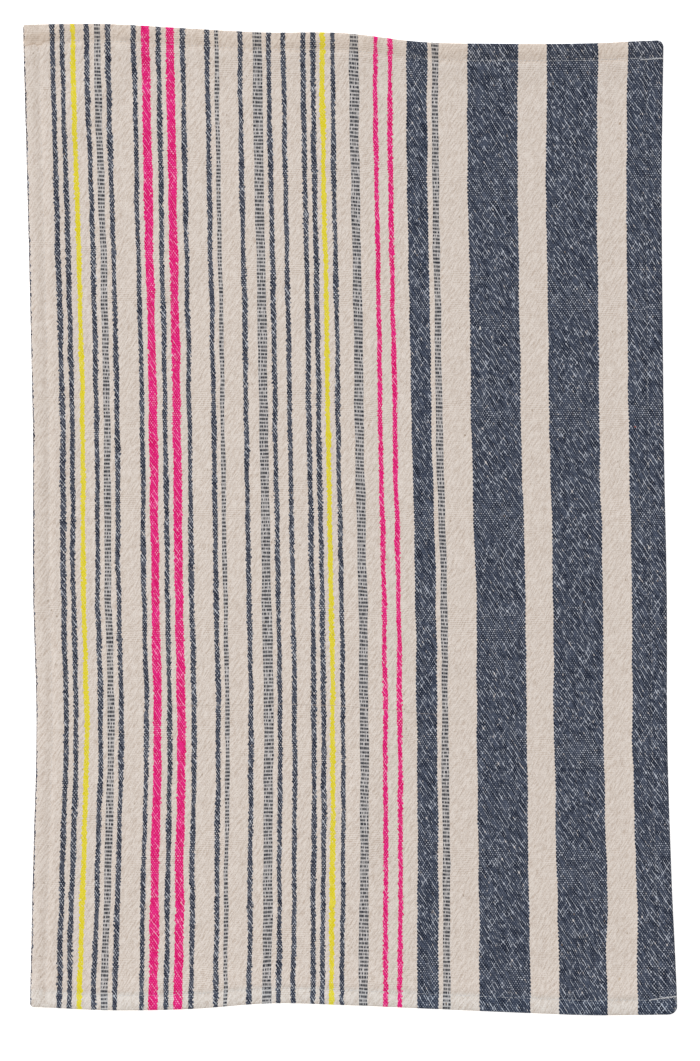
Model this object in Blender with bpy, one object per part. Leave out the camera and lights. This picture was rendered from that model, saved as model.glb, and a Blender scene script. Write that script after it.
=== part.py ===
"""A woven tea towel lying face up, with a hem turned under along all four edges.

Units are metres and +Z is up. X runs across the towel's width, Y along its length,
and the origin is at the middle of its base, on the surface that it lies on.
The cloth is drawn flat first, in u across and v along from its lower left corner,
and is then laid: its edges drift from straight, and soft creases lift it a little.
"""

import math
from collections import namedtuple

import bmesh
import bpy

MM = 0.001

# Driving dimensions
WIDTH = 457 * MM            # finished width, from side fold to side fold
LENGTH = 700 * MM           # finished length, from end fold to end fold
CLOTH = 1.0 * MM            # thickness of the woven cloth
TURNED = 1.3 * MM           # thickness of the turned strip, its raw edge tucked inside
FOLD_GAP = 0.3 * MM         # air between the turned strip and the cloth above it
EASE = 9 * MM               # how far inside the hem the cloth comes down to the surface
CORNER_RADIUS = 2.5 * MM    # in plan, where two folds meet

# Fineness
CELLS_ACROSS = 26
CELLS_ALONG = 40
FOLD_STEPS = 4              # faces round the outer fold
STRIP_STEPS = 2             # faces round the inner edge of the turned strip

# How deep each edge is turned under
HemDepth = namedtuple("HemDepth", "left right bottom top")
HEM_DEPTH = HemDepth(left=12.5 * MM, right=12.5 * MM, bottom=12.0 * MM, top=13.5 * MM)

# How far the warp lies to the right of straight, in mm, at even steps from the bottom
# edge to the top one. The middle column is added to the mean of the other two.
SideDrift = namedtuple("SideDrift", "left middle right")
SIDE_DRIFT = [
    SideDrift(left=0.0, middle=-1.5, right=6.0),
    SideDrift(left=2.0, middle=0.5, right=1.8),
    SideDrift(left=4.5, middle=0.7, right=-1.2),
    SideDrift(left=2.0, middle=0.9, right=-1.5),
    SideDrift(left=2.0, middle=-0.2, right=-3.4),
    SideDrift(left=0.0, middle=0.0, right=-4.5),
    SideDrift(left=-2.5, middle=-0.4, right=-5.2),
    SideDrift(left=-5.0, middle=-0.8, right=-4.0),
]

# How far each end lies above straight, in mm, at even steps from left to right
EndDrift = namedtuple("EndDrift", "bottom top")
END_DRIFT = [
    EndDrift(bottom=2.5, top=4.0),
    EndDrift(bottom=-1.0, top=4.5),
    EndDrift(bottom=0.0, top=1.5),
    EndDrift(bottom=4.0, top=-1.5),
    EndDrift(bottom=2.5, top=-2.0),
    EndDrift(bottom=0.0, top=-7.5),
    EndDrift(bottom=-2.5, top=-9.5),
    EndDrift(bottom=-4.5, top=-9.0),
    EndDrift(bottom=-4.0, top=-7.5),
]

# Soft creases: where each one's middle lies on the flat cloth, its length and width,
# its turn from +X, and how far it lifts the cloth, in mm and degrees
Crease = namedtuple("Crease", "name u v length width turn lift")
CREASES = [
    Crease("upper left corner", u=45, v=648, length=120, width=46, turn=53, lift=1.5),
    Crease("by the pink pair", u=102, v=525, length=90, width=42, turn=33, lift=1.3),
    Crease("low in the middle", u=236, v=140, length=150, width=44, turn=88, lift=1.3),
    Crease("its upper branch", u=266, v=212, length=70, width=40, turn=48, lift=0.8),
    Crease("between wide bands", u=312, v=258, length=80, width=40, turn=12, lift=0.8),
    Crease("right edge", u=432, v=348, length=90, width=46, turn=-8, lift=1.0),
    Crease("left hem, upper", u=4, v=527, length=60, width=48, turn=0, lift=0.8),
    Crease("left hem, middle", u=4, v=372, length=60, width=48, turn=0, lift=0.8),
]

# Finish
GROUND_COLOUR = (0.68, 0.59, 0.52, 1.0)
GROUND_ROUGHNESS = 0.92

# Worked out from the sizes above
HEM_HEIGHT = TURNED + FOLD_GAP + CLOTH
UNDER_CLOTH = TURNED + FOLD_GAP


def catmull_rom(before, start, stop, after, f):
    """Value the fraction f of the way from start to stop, on a smooth curve."""
    slope_in = (stop - before) / 2
    slope_out = (after - start) / 2
    rise = stop - start
    bend = 3 * rise - 2 * slope_in - slope_out
    settle = slope_in + slope_out - 2 * rise
    return start + f * (slope_in + f * (bend + f * settle))


def read_between(rows, t):
    """Row of an evenly stepped table at the fraction t of its run, on a smooth curve."""
    last = len(rows) - 1
    step = min(int(t * last), last - 1)
    four = [rows[min(max(step + k, 0), last)] for k in (-1, 0, 1, 2)]
    values = [catmull_rom(*column, t * last - step) for column in zip(*four)]
    return type(rows[0])(*values)


def lay(u, v):
    """Where a point of the flat cloth lies, seen from above."""
    across = u / WIDTH
    along = v / LENGTH
    side = read_between(SIDE_DRIFT, along)
    end = read_between(END_DRIFT, across)
    bow = 4 * across * (1 - across) * side.middle
    right_by = (1 - across) * side.left + across * side.right + bow
    up_by = (1 - along) * end.bottom + along * end.top
    return u - WIDTH / 2 + right_by * MM, v - LENGTH / 2 + up_by * MM


def lift_of(crease, u, v):
    """How far one crease lifts the cloth at a point: nothing outside its oval."""
    east = u - crease.u * MM
    north = v - crease.v * MM
    turn = math.radians(crease.turn)
    lengthwise = east * math.cos(turn) + north * math.sin(turn)
    crosswise = north * math.cos(turn) - east * math.sin(turn)
    half_length = crease.length * MM / 2
    half_width = crease.width * MM / 2
    off = (lengthwise / half_length) ** 2 + (crosswise / half_width) ** 2
    return crease.lift * MM * max(0.0, 1 - off) ** 2


def place(u, v, height):
    """Point in space for a point of the flat cloth at its height in the folded edge."""
    x, y = lay(u, v)
    lift = sum(lift_of(crease, u, v) for crease in CREASES)
    return x, y, height + lift


def steps_along(span, cells):
    """Fractions of a side where the mesh has a row, with one more beside each corner."""
    beside = CORNER_RADIUS / span
    even = [k / cells for k in range(1, cells)]
    return [0.0, beside, *even, 1 - beside, 1.0]


ACROSS = steps_along(WIDTH, CELLS_ACROSS)
ALONG = steps_along(LENGTH, CELLS_ALONG)


def insets(share, extra):
    """Distance in from each edge: a share of that edge's hem depth and a bit more."""
    return HemDepth(*(share * depth + extra for depth in HEM_DEPTH))


def lines_at(inset):
    """Rows of u and of v that span the cloth inside the given insets."""
    span_u = WIDTH - inset.left - inset.right
    span_v = LENGTH - inset.bottom - inset.top
    us = [inset.left + f * span_u for f in ACROSS]
    vs = [inset.bottom + f * span_v for f in ALONG]
    return us, vs


def round_the_rim(grid):
    """Items on the rim of a grid of columns, anticlockwise from the lower left."""
    bottom = [column[0] for column in grid[:-1]]
    right = grid[-1][:-1]
    top = [column[-1] for column in grid[:0:-1]]
    left = grid[0][:0:-1]
    return bottom + right + top + left


def round_corner(point, us, vs, cut):
    """A loop's point, drawn in towards the middle if it is one of the four corners."""
    u, v = point
    if u in (us[0], us[-1]) and v in (vs[0], vs[-1]):
        u += math.copysign(cut, WIDTH / 2 - u)
        v += math.copysign(cut, LENGTH / 2 - v)
    return u, v


def ring_points(inset, height):
    """Points of one loop round the towel, at the given insets and height."""
    us, vs = lines_at(inset)
    cut = max(0.0, CORNER_RADIUS - min(inset)) * (1 - math.sqrt(0.5))
    rim = round_the_rim([[(u, v) for v in vs] for u in us])
    return [place(*round_corner(point, us, vs, cut), height) for point in rim]


def arc(centre_inset, centre_height, radius, start, stop, steps):
    """(inset, height) points on an arc of the edge's cross-section, angles in degrees."""
    points = []
    for k in range(steps + 1):
        angle = math.radians(start + (stop - start) * k / steps)
        points.append((centre_inset + radius * math.cos(angle),
                       centre_height + radius * math.sin(angle)))
    return points


# One loop of the folded edge: its inset is a share of the hem's depth and a bit more
Loop = namedtuple("Loop", "share extra height")


def edge_section():
    """Loops round the edge, from the cloth's face, over the fold and back beneath it."""
    fold_radius = HEM_HEIGHT / 2
    strip_radius = TURNED / 2
    gap_end = (CLOTH + TURNED) / 2
    fold = arc(fold_radius, fold_radius, fold_radius, 90, 270, FOLD_STEPS)
    strip = arc(-strip_radius, strip_radius, strip_radius, -90, 90, STRIP_STEPS)
    section = [Loop(1, EASE / 2, CLOTH + UNDER_CLOTH / 2), Loop(1, 0, HEM_HEIGHT)]
    section += [Loop(0, inset, height) for inset, height in fold]
    section += [Loop(1, extra, height) for extra, height in strip]
    section += [Loop(0, gap_end, TURNED), Loop(0, gap_end, UNDER_CLOTH)]
    section += [Loop(1, 0, UNDER_CLOTH), Loop(1, EASE / 2, UNDER_CLOTH / 2)]
    return section


def add_field(bm, height):
    """The cloth inside the hems at one height. Returns its rim of vertices."""
    us, vs = lines_at(insets(1, EASE))
    grid = [[bm.verts.new(place(u, v, height)) for v in vs] for u in us]
    for left, right in zip(grid, grid[1:]):
        for k in range(len(vs) - 1):
            bm.faces.new((left[k], right[k], right[k + 1], left[k + 1]))
    return round_the_rim(grid)


def bridge(bm, rim, next_rim):
    """Faces between two loops that have the same number of vertices."""
    count = len(rim)
    for k in range(count):
        after = (k + 1) % count
        bm.faces.new((rim[k], next_rim[k], next_rim[after], rim[after]))


def towel_mesh():
    """One closed mesh: the face, the folds, the turned strips and the underside."""
    bm = bmesh.new()
    rim = add_field(bm, CLOTH)
    for loop in edge_section():
        points = ring_points(insets(loop.share, loop.extra), loop.height)
        next_rim = [bm.verts.new(point) for point in points]
        bridge(bm, rim, next_rim)
        rim = next_rim
    bridge(bm, rim, add_field(bm, 0.0))
    bmesh.ops.recalc_face_normals(bm, faces=bm.faces)
    mesh = bpy.data.meshes.new("towel")
    bm.to_mesh(mesh)
    bm.free()
    return mesh


def centre_on_base(mesh):
    """Move a mesh so that the middle of its base is the origin."""
    xs = [vertex.co.x for vertex in mesh.vertices]
    ys = [vertex.co.y for vertex in mesh.vertices]
    middle_x = (min(xs) + max(xs)) / 2
    middle_y = (min(ys) + max(ys)) / 2
    for vertex in mesh.vertices:
        vertex.co.x -= middle_x
        vertex.co.y -= middle_y


def woven_cotton():
    """Undyed cotton, the colour of the towel's ground."""
    material = bpy.data.materials.new("woven_cotton")
    material.use_nodes = True
    shader = material.node_tree.nodes["Principled BSDF"]
    shader.inputs["Base Color"].default_value = GROUND_COLOUR
    shader.inputs["Roughness"].default_value = GROUND_ROUGHNESS
    shader.inputs["Metallic"].default_value = 0.0
    return material


def build_towel():
    """The towel, in one piece: its hems are part of its cloth."""
    mesh = towel_mesh()
    centre_on_base(mesh)
    mesh.materials.append(woven_cotton())
    mesh.shade_smooth()
    towel = bpy.data.objects.new("towel", mesh)
    bpy.context.scene.collection.objects.link(towel)
    return towel


def clear_scene():
    """Remove the objects that a new file starts with."""
    for item in list(bpy.data.objects):
        bpy.data.objects.remove(item, do_unlink=True)


def main():
    clear_scene()
    build_towel()


main()
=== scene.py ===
"""A woven cotton tea towel with lengthwise stripes, lying face up on a pale surface.

Sizes are metres, +Z is up, X runs across the towel and Y along its length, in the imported
model's own frame. The cloth is drawn flat first, in u across and v along from its lower
left corner, and is then laid: its edges drift from straight and soft creases lift it.
"""

import logging
import math
from dataclasses import dataclass, field
from enum import Enum

import bpy
import numpy as np
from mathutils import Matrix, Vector


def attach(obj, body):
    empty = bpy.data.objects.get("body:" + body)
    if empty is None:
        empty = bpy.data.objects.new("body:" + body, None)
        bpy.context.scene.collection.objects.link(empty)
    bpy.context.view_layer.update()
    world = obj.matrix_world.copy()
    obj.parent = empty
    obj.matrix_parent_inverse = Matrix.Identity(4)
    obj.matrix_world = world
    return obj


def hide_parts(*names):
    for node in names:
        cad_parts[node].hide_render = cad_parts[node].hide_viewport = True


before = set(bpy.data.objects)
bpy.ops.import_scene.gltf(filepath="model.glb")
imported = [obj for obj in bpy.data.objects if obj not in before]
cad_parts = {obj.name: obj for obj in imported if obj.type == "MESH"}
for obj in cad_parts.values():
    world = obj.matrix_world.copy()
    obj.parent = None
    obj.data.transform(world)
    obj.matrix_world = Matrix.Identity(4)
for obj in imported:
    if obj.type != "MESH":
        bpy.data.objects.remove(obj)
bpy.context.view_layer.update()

MM = 0.001
BAKE_MAP = "OFBake"
Colour = tuple[float, float, float, float]
Range = tuple[float, float]
log = logging.getLogger("tea_towel")


# ---------------------------------------------------------------- the weaver's plan


class Yarn(Enum):
    """Dyed yarns of the warp, whose ground is undyed cotton."""

    NAVY = "navy cotton"
    SLATE = "slate blue cotton"
    PINK = "pink cotton"
    YELLOW = "yellow cotton"


class WarpOrder(Enum):
    """How the ends of a stripe are threaded."""

    SOLID = "every end in the stripe's yarn"
    ONE_AND_ONE = "stripe yarn and ground, turn about"


@dataclass(frozen=True)
class WarpStripe:
    """One stripe of the warping plan, counted in ends from the left."""

    ground_before: float
    yarn: Yarn
    ends: int
    order: WarpOrder = WarpOrder.SOLID


WARPING_PLAN = (
    WarpStripe(0.15, Yarn.SLATE, 1),
    WarpStripe(20.85, Yarn.SLATE, 4),
    WarpStripe(4, Yarn.SLATE, 4),
    WarpStripe(5, Yarn.YELLOW, 3),
    WarpStripe(8, Yarn.SLATE, 4),
    WarpStripe(4, Yarn.SLATE, 5, WarpOrder.ONE_AND_ONE),
    WarpStripe(4, Yarn.SLATE, 4),
    WarpStripe(17, Yarn.SLATE, 4),
    WarpStripe(4, Yarn.PINK, 7),
    WarpStripe(5, Yarn.SLATE, 4),
    WarpStripe(4, Yarn.PINK, 7),
    WarpStripe(5, Yarn.SLATE, 4),
    WarpStripe(16, Yarn.SLATE, 4),
    WarpStripe(4, Yarn.SLATE, 3, WarpOrder.ONE_AND_ONE),
    WarpStripe(16, Yarn.SLATE, 4),
    WarpStripe(9, Yarn.SLATE, 7, WarpOrder.ONE_AND_ONE),
    WarpStripe(4, Yarn.SLATE, 4),
    WarpStripe(8, Yarn.SLATE, 4),
    WarpStripe(12, Yarn.SLATE, 4),
    WarpStripe(4, Yarn.SLATE, 4),
    WarpStripe(4, Yarn.YELLOW, 3),
    WarpStripe(5, Yarn.SLATE, 4),
    WarpStripe(12, Yarn.SLATE, 7, WarpOrder.ONE_AND_ONE),
    WarpStripe(12, Yarn.PINK, 4),
    WarpStripe(8, Yarn.PINK, 4),
    WarpStripe(12, Yarn.NAVY, 17),
    WarpStripe(4, Yarn.SLATE, 5, WarpOrder.ONE_AND_ONE),
    WarpStripe(24, Yarn.NAVY, 41),
    WarpStripe(23, Yarn.NAVY, 41),
    WarpStripe(24, Yarn.NAVY, 41),
)


# ---------------------------------------------------------------- how the cloth lies


@dataclass(frozen=True)
class SideDrift:
    """How far the warp lies to the right of straight, in mm, at one step up the towel."""

    left: float
    middle: float
    right: float


@dataclass(frozen=True)
class EndDrift:
    """How far the two ends lie above straight, in mm, at one step across the towel."""

    bottom: float
    top: float


@dataclass(frozen=True)
class Crease:
    """A soft crease: its middle on the flat cloth, its size, turn and lift, in mm and degrees."""

    name: str
    u: float
    v: float
    length: float
    width: float
    turn: float
    lift: float


SIDE_DRIFT = (
    SideDrift(left=0.0, middle=-1.5, right=6.0),
    SideDrift(left=2.0, middle=0.5, right=1.8),
    SideDrift(left=4.5, middle=0.7, right=-1.2),
    SideDrift(left=2.0, middle=0.9, right=-1.5),
    SideDrift(left=2.0, middle=-0.2, right=-3.4),
    SideDrift(left=0.0, middle=0.0, right=-4.5),
    SideDrift(left=-2.5, middle=-0.4, right=-5.2),
    SideDrift(left=-5.0, middle=-0.8, right=-4.0),
)
END_DRIFT = (
    EndDrift(bottom=1.4, top=4.0),
    EndDrift(bottom=-1.0, top=4.5),
    EndDrift(bottom=0.0, top=1.5),
    EndDrift(bottom=4.0, top=-1.5),
    EndDrift(bottom=2.5, top=-2.0),
    EndDrift(bottom=0.0, top=-8.4),
    EndDrift(bottom=-2.5, top=-9.7),
    EndDrift(bottom=-4.5, top=-9.5),
    EndDrift(bottom=-4.0, top=-7.3),
)
CREASES = (
    Crease("upper left corner", u=45, v=648, length=120, width=46, turn=53, lift=1.5),
    Crease("by the pink pair", u=102, v=525, length=90, width=42, turn=33, lift=1.3),
    Crease("low in the middle", u=236, v=140, length=150, width=44, turn=88, lift=1.3),
    Crease("its upper branch", u=266, v=212, length=70, width=40, turn=48, lift=0.8),
    Crease("between wide bands", u=312, v=258, length=80, width=40, turn=12, lift=0.8),
    Crease("right edge", u=432, v=348, length=90, width=46, turn=-8, lift=1.0),
    Crease("left hem, upper", u=4, v=527, length=60, width=48, turn=0, lift=0.8),
    Crease("left hem, middle", u=4, v=372, length=60, width=48, turn=0, lift=0.8),
)


@dataclass(frozen=True)
class Nudge:
    """A part of the warp that lies beside its stripe's line: middle, size and shift, in mm."""

    name: str
    u: float
    v: float
    wide: float
    long: float
    right_by: float


NUDGES = (
    Nudge("left stripes", u=50, v=330, wide=92, long=620, right_by=0.95),
    Nudge("pink pair, top", u=110, v=680, wide=120, long=260, right_by=0.6),
    Nudge("wide bands, upper", u=325, v=560, wide=150, long=460, right_by=-0.9),
    Nudge("right hem, low", u=415, v=0, wide=76, long=150, right_by=-2.3),
    Nudge("middle stripes, low", u=140, v=20, wide=150, long=150, right_by=0.9),
)


@dataclass(frozen=True)
class Mark:
    """A yarn fault or a patch of painted shade: its middle, half sizes and turn, in mm and degrees.
    """

    name: str
    u: float
    v: float
    along: float
    across: float
    turn: float
    colour: tuple[float, float, float]
    share: float


MARKS = (
    Mark("cream slub in the first wide band", 326.2, 494.1, 1.5, 0.7, 90, (0.66, 0.62, 0.56), 0.9),
    Mark("pale slub near the right edge", 444.5, 335.5, 1.2, 0.6, 90, (0.60, 0.58, 0.56), 0.8),
    Mark("reddish lint in the right band", 436.1, 422.7, 0.9, 0.6, 0, (0.30, 0.09, 0.07), 0.8),
    Mark("dark lint by the sixth stripe", 116.1, 366.1, 1.3, 0.5, 90, (0.10, 0.09, 0.09), 0.85),
    Mark("tan husk, upper right", 426.7, 641.0, 1.1, 0.7, 60, (0.30, 0.20, 0.13), 0.7),
    Mark("tan husk beside it", 413.1, 645.7, 0.9, 0.6, 20, (0.34, 0.24, 0.16), 0.6),
    Mark("tan husk, lower right", 419.5, 25.9, 1.3, 0.8, 60, (0.42, 0.31, 0.20), 0.6),
    Mark("smudge on the top hem", 72.8, 689.5, 4.6, 2.2, 0, (0.47, 0.40, 0.35), 0.35),
    # Painted shade under the top hem's fold by the upper left corner, and its painted shadow line.
    Mark("painted shade by the upper left corner", 8.8, 689.4, 13.5, 4.0, 10, (0.52, 0.41, 0.32), 0.36),
    Mark("its painted shadow line", 9.0, 686.2, 13.0, 0.6, 10, (0.40, 0.29, 0.21), 0.50),
    Mark("coarse pick low in the cloth", 190.0, 215.3, 125.0, 0.45, -1, (0.40, 0.33, 0.28), 0.4),
)


def smooth_fall(x: np.ndarray) -> np.ndarray:
    """Fall softly from 1 at and before x = 0 to 0 at and after x = 1."""
    t = np.clip(x, 0.0, 1.0)
    return 1.0 - t * t * (3.0 - 2.0 * t)


def smooth_column(column: np.ndarray, t: np.ndarray) -> np.ndarray:
    """Read an evenly stepped column of a table on a smooth curve.

    Args:
        column: The column's values.
        t: Fractions of the column's run, from 0 to 1.

    Returns:
        The value at each fraction.
    """
    last = len(column) - 1
    step = np.clip((t * last).astype(int), 0, last - 1)
    before, start, stop, after = (column[np.clip(step + k, 0, last)] for k in (-1, 0, 1, 2))
    f = t * last - step
    slope_in = (stop - before) / 2
    slope_out = (after - start) / 2
    rise = stop - start
    bend = 3 * rise - 2 * slope_in - slope_out
    settle = slope_in + slope_out - 2 * rise
    return start + f * (slope_in + f * (bend + f * settle))


@dataclass(frozen=True)
class Cockles:
    """Small slack waves of cloth that has been laundered and pressed by hand.

    The sum of the waves has a spread of about 1, and full_spread takes in nearly all of it.
    """

    seed: int
    shortest: float
    longest: float
    height: float
    waves: int = 28
    full_spread: float = 5.0

    def rise(self, u: np.ndarray, v: np.ndarray) -> np.ndarray:
        """Work out how far the waves lift the cloth.

        Args:
            u: Places across the flat cloth.
            v: Places along it.

        Returns:
            Heights from nothing up to about the full height.
        """
        rng = np.random.default_rng(self.seed)
        total = np.zeros_like(u)
        for _ in range(self.waves):
            length = rng.uniform(self.shortest, self.longest)
            turn = rng.uniform(0, math.pi)
            phase = rng.uniform(0, 2 * math.pi)
            along = u * math.cos(turn) + v * math.sin(turn)
            total += np.cos(2 * math.pi * along / length + phase)
        even = total / math.sqrt(self.waves / 2)
        return self.height * np.clip(0.5 + even / self.full_spread, 0.0, 1.0)


@dataclass(frozen=True)
class TowelLay:
    """Where each point of the flat cloth lies, and how high its face stands.

    turned is the thickness of the strip that is turned under, and gap the air above it.
    The face steps down within ease of a hem's inner edge. On the hem it is puckered, dips
    along the row of stitches and puffs up between that row and the fold.
    """

    width: float = 457 * MM
    length: float = 700 * MM
    cloth: float = 1.0 * MM
    gap: float = 0.3 * MM
    turned: float = 1.3 * MM
    ease: float = 22.0 * MM
    side_hem: float = 12.5 * MM
    bottom_hem: float = 12.0 * MM
    top_hem: float = 13.5 * MM
    top_left_extra: float = 2.4 * MM
    top_left_run: float = 31 * MM
    corner_share: float = 0.62
    pucker_reach: float = 6 * MM
    row_inset: float = 1.2 * MM
    row_dip: float = 0.72 * MM
    row_dip_width: float = 2.6 * MM
    fold_puff: float = 0.5 * MM
    puff_inset: float = 8.2 * MM
    puff_width: float = 3.2 * MM
    outline_steps: int = 240
    slack: Cockles = Cockles(seed=11, shortest=26 * MM, longest=90 * MM, height=0.55 * MM)
    pucker: Cockles = Cockles(seed=5, shortest=8 * MM, longest=17 * MM, height=0.34 * MM)

    def plan(self, u: np.ndarray, v: np.ndarray) -> tuple[np.ndarray, np.ndarray]:
        """Lay points of the flat cloth, before the towel is centred on its base.

        Args:
            u: Places across the flat cloth.
            v: Places along it.

        Returns:
            The x and y of each point.
        """
        across = np.clip(u / self.width, 0.0, 1.0)
        along = np.clip(v / self.length, 0.0, 1.0)
        left, middle, right = (
            smooth_column(np.array([getattr(row, name) for row in SIDE_DRIFT]), along)
            for name in ("left", "middle", "right")
        )
        bottom, top = (
            smooth_column(np.array([getattr(row, name) for row in END_DRIFT]), across)
            for name in ("bottom", "top")
        )
        bow = 4 * across * (1 - across) * middle
        right_by = (1 - across) * left + across * right + bow
        for nudge in NUDGES:
            east, north = u / MM - nudge.u, v / MM - nudge.v
            off = (east / nudge.wide * 2) ** 2 + (north / nudge.long * 2) ** 2
            right_by = right_by + nudge.right_by * np.maximum(0.0, 1 - off**2)
        up_by = (1 - along) * bottom + along * top
        return u - self.width / 2 + right_by * MM, v - self.length / 2 + up_by * MM

    def middle(self) -> tuple[float, float]:
        """Find the middle of the laid outline's box.

        Returns:
            Its x and y.
        """
        t = np.linspace(0.0, 1.0, self.outline_steps + 1)
        low, high = np.zeros_like(t), np.ones_like(t)
        u = np.concatenate([t, t, low, high]) * self.width
        v = np.concatenate([low, high, t, t]) * self.length
        x, y = self.plan(u, v)
        return (x.min() + x.max()) / 2, (y.min() + y.max()) / 2

    def lift(self, u: np.ndarray, v: np.ndarray) -> np.ndarray:
        """Add up how far the creases and the slack lift the cloth off the surface.

        Args:
            u: Places across the flat cloth.
            v: Places along it.

        Returns:
            The lift at each point.
        """
        total = self.slack.rise(u, v)
        for crease in CREASES:
            turn = math.radians(crease.turn)
            east, north = u / MM - crease.u, v / MM - crease.v
            lengthwise = east * math.cos(turn) + north * math.sin(turn)
            crosswise = north * math.cos(turn) - east * math.sin(turn)
            off = (lengthwise / crease.length * 2) ** 2 + (crosswise / crease.width * 2) ** 2
            total = total + crease.lift * MM * np.maximum(0.0, 1 - off) ** 2
        return total

    def hems(self, u: np.ndarray, v: np.ndarray) -> tuple[np.ndarray, np.ndarray]:
        """Measure how far points lie inside the inner edge of the nearest side and end hem.

        Args:
            u: Places across the flat cloth.
            v: Places along it.

        Returns:
            Distances past the side hem and past the end hem, less than 0 on the hem.
        """
        side = np.minimum(u, self.width - u) - self.side_hem
        top_hem = self.top_hem + self.top_left_extra * smooth_fall(u / self.top_left_run)
        end = np.minimum(v - self.bottom_hem, self.length - v - top_hem)
        return side, end

    def face(self, u: np.ndarray, v: np.ndarray, stitched: bool = True) -> np.ndarray:
        """Work out the height of the cloth's face above its lifted base.

        Args:
            u: Places across the flat cloth.
            v: Places along it.
            stitched: Whether the rows of stitches draw the face down.

        Returns:
            The height of the face at each point.
        """
        side, end = self.hems(u, v)
        step = self.turned + self.gap
        side_step = step * smooth_fall(side / self.ease)
        end_step = step * smooth_fall(end / self.ease)
        lesser = np.minimum(side_step, end_step)
        height = self.cloth + np.maximum(side_step, end_step) + self.corner_share * lesser
        on_hem = smooth_fall(np.minimum(side, end) / self.pucker_reach)
        height = height + on_hem * self.pucker.rise(u, v)
        if stitched:
            for past in (side, end):
                row = np.exp(-(((past + self.row_inset) / self.row_dip_width) ** 2))
                height = height - self.row_dip * row
                puff = np.exp(-(((past + self.puff_inset) / self.puff_width) ** 2))
                height = height + self.fold_puff * puff
        return height


# ---------------------------------------------------------------- the cloth's mesh


class Layer(Enum):
    """Which side of the cloth a part of the mesh shows."""

    FACE = 0
    BACK = 1


@dataclass(frozen=True)
class EdgeLoop:
    """One loop round the towel's edge.

    Its inset is a share of the hem's depth and a bit more. Its height is a share of the
    face's height over the base and a bit more. past_fold is how far the cloth has gone
    round the fold, and is None while the loop lies on flat cloth.
    """

    share: float
    extra: float
    height_share: float
    height_extra: float
    past_fold: float | None = None
    layer: Layer = Layer.FACE


# Insets past a hem's inner edge, in mm, of the loops on the face and of those on the back.
FACE_INSETS = (7.6, 6.3, 5.0, 3.8, 2.6, 1.4, 0.3, -0.7, -1.3, -1.9, -2.5, -3.1, -4.3)
BACK_INSETS = (0.3, 1.8, 3.4, 5.2, 7.1)
# Insets and heights, in mm, of the loops that the row of stitches draws up beneath the hem.
UNDER_LOOPS = ((-3.1, 0.0), (-2.4, 0.16), (-1.9, 0.28), (-1.4, 0.16), (-0.6, 0.0))


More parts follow.
